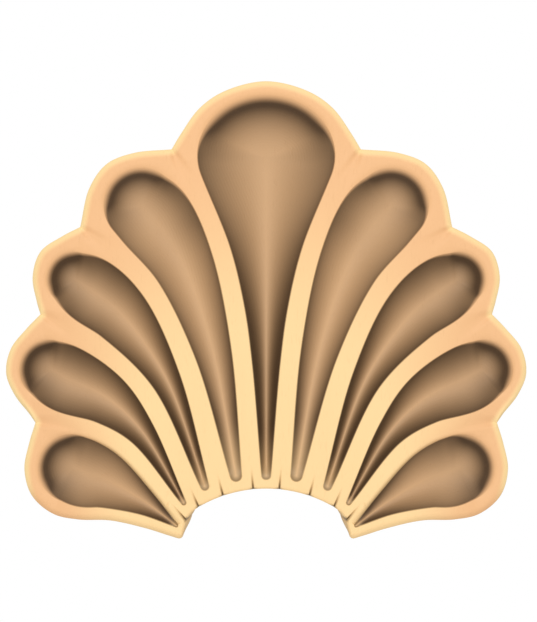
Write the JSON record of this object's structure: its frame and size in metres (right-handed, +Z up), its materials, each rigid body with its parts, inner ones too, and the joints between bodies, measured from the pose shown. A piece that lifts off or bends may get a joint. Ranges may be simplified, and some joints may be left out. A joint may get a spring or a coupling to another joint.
{
  "type": "shell ornament",
  "caption": "Flat-backed carved wooden shell ornament: scooped lobes fan out above a round notch, to be glued or pinned to furniture or a wall panel.",
  "frame": {"origin": "middle of the flat back, on the back face", "axes": "+X right, +Z up, +Y out of the flat back into the wall, so the carved front faces -Y"},
  "size_m": [0.1822, 0.02, 0.16],
  "materials": {
    "wood": "smooth sanded pale wood, satin, toned darker in the scoops"
  },
  "bodies": {
    "root": {"shell_carving": "wood"}
  },
  "joints": []
}
